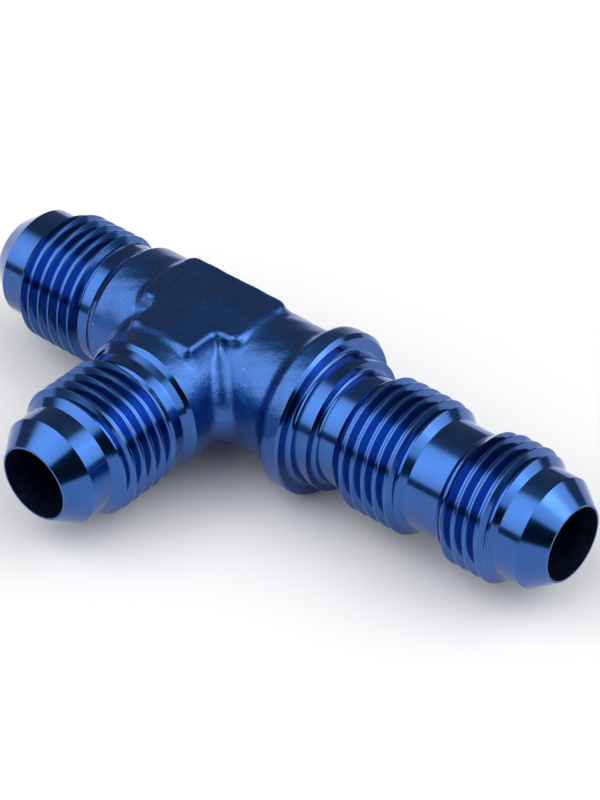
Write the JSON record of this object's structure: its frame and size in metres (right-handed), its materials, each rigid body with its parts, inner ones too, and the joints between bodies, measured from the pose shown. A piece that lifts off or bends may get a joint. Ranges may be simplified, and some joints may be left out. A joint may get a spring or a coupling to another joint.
{
  "type": "flare bulkhead tee fitting",
  "caption": "Blue anodised aluminium 37-degree flare bulkhead tee, with a male flare on each end and the bulkhead end on the run.",
  "frame": {"origin": "on the flat wrench pad, straight above the point where the run and branch axes cross", "axes": "+X along the run towards the bulkhead end, -Y along the branch, +Z out of the wrench pad"},
  "size_m": [0.0732, 0.0357, 0.0178],
  "materials": {
    "anodised_body": "blue anodised, turned areas glossy and forged areas satin"
  },
  "bodies": {
    "root": {"fitting_body": "anodised_body"}
  },
  "joints": []
}
